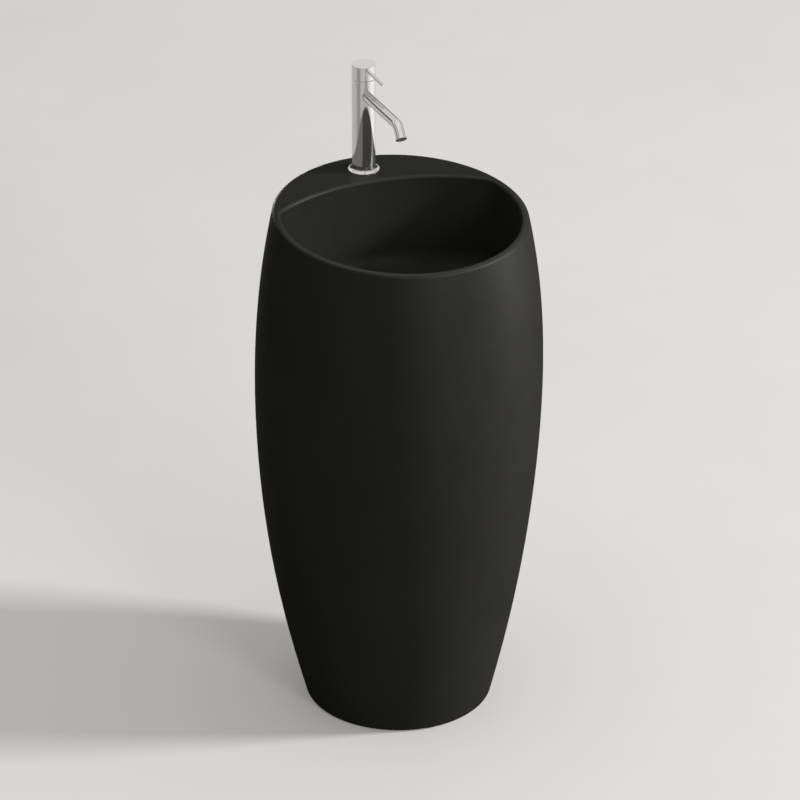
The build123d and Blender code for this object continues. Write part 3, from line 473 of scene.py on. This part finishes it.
def pale_floor():
    """Pale to the camera, darker in what bounces off it, so that the black glaze stays black."""
    look = Look("pale_floor")
    rays = look.add("ShaderNodeLightPath")
    to_camera, to_gloss = rays.outputs["Is Camera Ray"], rays.outputs["Is Glossy Ray"]
    shade = look.blend(look.noise(1.6, 4), (0.57, 0.56, 0.545), (0.61, 0.60, 0.585))
    bounce = look.blend(to_gloss, (0.20, 0.197, 0.19), (0.05, 0.049, 0.047))
    look.colour(look.blend(to_camera, bounce, shade))
    look.set(Emission_Color=(0.82, 0.81, 0.79, 1), Specular_IOR_Level=0.2)
    glow = look.between(to_camera, 0, FLOOR_GLOW, 0, 1)
    look.join(glow, look.shader.inputs["Emission Strength"])
    look.rough(look.between(look.noise(9, 3), 0.55, 0.7))
    distance = look.add("ShaderNodeVectorMath", look.place, operation="LENGTH").outputs["Value"]
    clear = look.add("ShaderNodeBsdfTransparent")
    surface = look.add(
        "ShaderNodeMixShader",
        look.between(distance, 0, 1, *FADE),
        look.shader.outputs[0],
        clear.outputs[0],
    )
    look.join(surface.outputs[0], look.tree.nodes["Material Output"].inputs["Surface"])
    return look.material


corners = [(-FLOOR_HALF, -FLOOR_HALF, 0), (FLOOR_HALF, -FLOOR_HALF, 0)]
corners += [(FLOOR_HALF, FLOOR_HALF, 0), (-FLOOR_HALF, FLOOR_HALF, 0)]
floor_mesh = bpy.data.meshes.new("floor")
floor_mesh.from_pydata(corners, [], [(0, 1, 2, 3)])
floor_mesh.materials.append(pale_floor())
floor = bpy.data.objects.new("floor", floor_mesh)
scene.collection.objects.link(floor)

# --- World: stronger from above, dimmer in reflections, and pale to the camera ---

world = bpy.data.worlds.new("studio")
scene.world = world
world.use_nodes = True
sky = world.node_tree
path = sky.nodes.new("ShaderNodeLightPath")
direction = sky.nodes.new("ShaderNodeTexCoord").outputs["Generated"]
upward = wired(sky, "ShaderNodeSeparateXYZ", direction).outputs["Z"]
diffuse = wired(sky, "ShaderNodeMapRange", upward, 0, 1, 0.05, 0.8).outputs["Result"]
glossy = wired(sky, "ShaderNodeMapRange", upward, 0.30, 1, 0.02, 0.40).outputs["Result"]
to_gloss = path.outputs["Is Glossy Ray"]
strength = wired(sky, "ShaderNodeMix", to_gloss, None, diffuse, glossy).outputs[0]
background = sky.nodes["Background"]
background.inputs["Color"].default_value = (1.0, 0.99, 0.97, 1)
sky.links.new(strength, background.inputs["Strength"])
seen = wired(sky, "ShaderNodeBackground", (0.86, 0.85, 0.84, 1), 1.0)
to_camera = path.outputs["Is Camera Ray"]
choose = wired(sky, "ShaderNodeMixShader", to_camera, background.outputs[0], seen.outputs[0])
sky.links.new(choose.outputs[0], sky.nodes["World Output"].inputs["Surface"])

# --- Lamps: a key from the right and above, a fill, and low cards that miss deck and bowl ---


def lamp(name, place, facing, size, radiance, only, colour=(1, 1, 1)):
    """A soft rectangular lamp that lights one collection."""
    light = bpy.data.lights.new(name, "AREA")
    light.shape = "RECTANGLE"
    light.size, light.size_y = size
    light.energy = radiance * math.pi * size[0] * size[1]
    light.color = colour
    piece = bpy.data.objects.new(name, light)
    piece.location = place
    piece.rotation_euler = (-Vector(facing)).to_track_quat("Z", "Y").to_euler()
    piece.visible_camera = False
    piece.light_linking.receiver_collection = only
    scene.collection.objects.link(piece)
    return light


AIM = Vector((0, 0, 0.5))


def softbox(name, direction, distance, size, watts, only):
    """A lamp some way off that looks at the middle of the object."""
    toward = Vector(direction).normalized()
    radiance = watts / math.pi / size[0] / size[1]
    lamp(name, AIM + toward * distance, -toward, size, radiance, only)


metal = bpy.data.collections.new("metal")
matt = bpy.data.collections.new("matt")
glazed = bpy.data.collections.new("glazed")
ground = bpy.data.collections.new("ground")
ground.objects.link(floor)
matt.objects.link(floor)
for piece in scene.objects:
    if piece.type == "MESH" and piece.data.materials and piece != floor:
        if piece.data.materials[0] in METALS:
            metal.objects.link(piece)
        else:
            matt.objects.link(piece)
            glazed.objects.link(piece)

KEY_DIRECTION, KEY_DISTANCE, KEY_SIZE = (0.807, -0.342, 0.482), 12.0, (1.8, 1.8)
softbox("key", KEY_DIRECTION, KEY_DISTANCE, KEY_SIZE, 1040, matt)
softbox("key_floor", KEY_DIRECTION, KEY_DISTANCE, KEY_SIZE, 280, ground)
softbox("fill", (0.20, -1.0, 0.45), 8.0, (2.0, 2.0), 125, matt)
lamp("low_right", (7.8, -1.6, 0.42), (-0.98, 0.2, 0), (2.4, 0.7), 34.0, glazed)
lamp("low_front", (0.8, -8.0, 0.42), (-0.1, 1, 0), (2.4, 0.7), 8.0, glazed)
lamp("back", (0.8, 8.0, 0.42), (-0.1, -1, 0), (2.4, 0.8), 26.0, glazed)

# What the metal reflects: a cream room, whose floor has bands of tone around the tap and a dark
# patch in front of it, where the bowl is
CREAM = (1.0, 0.965, 0.925)
TAP_Y, DECK_CARD = 0.16, 0.862
PATCH_HALF_WIDTH, PATCH_HALF_DEPTH, PATCH_AHEAD = 0.14, 0.135, 0.105
PATCH_EDGE = (0.97, 1.03)
PATCH_TONE = (0.40, 0.43, 0.13, 0.02)
STREAK_SCALE, STREAK_DETAIL = 26.0, 2.0
STREAK_TONE = (0.35, 0.65, 0.82, 1.12)
# Part of a turn about the tap, and the tone there
BANDS = (
    (0.0, 0.52),
    (0.24, 0.48),
    (0.275, 0.27),
    (0.345, 0.25),
    (0.385, 0.50),
    (0.56, 0.52),
    (0.65, 0.95),
    (0.77, 0.90),
    (0.86, 0.62),
    (1.0, 0.54),
)
around = lamp("metal_floor", (0, TAP_Y, DECK_CARD), (0, 0, 1), (8, 8), 1.0, metal, CREAM)
around.use_nodes = True
web = around.node_tree


def first_of(kind, *inputs, **settings):
    """The first output of a new node of the metal's floor."""
    return wired(web, kind, *inputs, **settings).outputs[0]


def sums(operation, *inputs):
    return first_of("ShaderNodeMath", *inputs, operation=operation)


position = web.nodes.new("ShaderNodeNewGeometry").outputs["Position"]
spot = wired(web, "ShaderNodeSeparateXYZ", position)
aside, along = spot.outputs["X"], sums("SUBTRACT", TAP_Y, spot.outputs["Y"])
turn = sums("MULTIPLY_ADD", sums("ARCTAN2", aside, along), 0.5 / math.pi, 0.5)
ramp = wired(web, "ShaderNodeValToRGB", turn)
while len(ramp.color_ramp.elements) < len(BANDS):
    ramp.color_ramp.elements.new(0.5)
for element, (place, tone) in zip(ramp.color_ramp.elements, BANDS):
    element.position = place
    element.color = (tone, tone, tone, 1)
across = sums("DIVIDE", aside, PATCH_HALF_WIDTH)
ahead = sums("DIVIDE", sums("SUBTRACT", along, PATCH_AHEAD), PATCH_HALF_DEPTH)
squares = sums("ADD", sums("MULTIPLY", across, across), sums("MULTIPLY", ahead, ahead))
outside = first_of("ShaderNodeMapRange", sums("SQRT", squares), *PATCH_EDGE)
patch = first_of("ShaderNodeMapRange", turn, *PATCH_TONE)
ripple = first_of(
    "ShaderNodeTexNoise", None, turn, STREAK_SCALE, STREAK_DETAIL, noise_dimensions="1D"
)
streaks = first_of("ShaderNodeMapRange", ripple, *STREAK_TONE)
room = sums("MULTIPLY", ramp.outputs["Color"], streaks)
inside = sums("SUBTRACT", 1.0, outside)
glow = sums("ADD", sums("MULTIPLY", room, outside), sums("MULTIPLY", patch, inside))
web.links.new(glow, web.nodes["Emission"].inputs["Strength"])

for name, place, facing, size, radiance in (
    ("metal_ceiling", (0, 0, 3.6), (0, 0, -1), (5.6, 5.6), 0.48),
    ("metal_rear", (0, 2.6, 2.25), (0, -1, 0), (7, 1.5), 0.66),
    ("metal_front", (0, -3.4, 2.45), (0, 1, 0), (7, 1.9), 0.42),
    ("metal_west", (-3.4, 0, 2.45), (1, 0, 0), (5, 1.9), 0.42),
    ("metal_east", (3.4, 0, 2.45), (-1, 0, 0), (5, 1.9), 0.60),
):
    lamp(name, place, facing, size, radiance, metal, CREAM)

# --- Camera at the photograph's place ---

YAW, PITCH = math.radians(19.815), math.radians(27.915)
LENS, SENSOR = 245.2, 36.0
camera = bpy.data.objects.new("camera", bpy.data.cameras.new("camera"))
camera.data.lens = LENS
camera.data.sensor_width = SENSOR
camera.data.clip_end = 100.0
camera.location = (-2.5645, -7.1248, 4.5313)
ahead = math.cos(PITCH)
forward = Vector((math.sin(YAW) * ahead, math.cos(YAW) * ahead, -math.sin(PITCH)))
camera.rotation_euler = forward.to_track_quat("-Z", "Y").to_euler()
scene.collection.objects.link(camera)
scene.camera = camera
scene.view_settings.view_transform = "Standard"
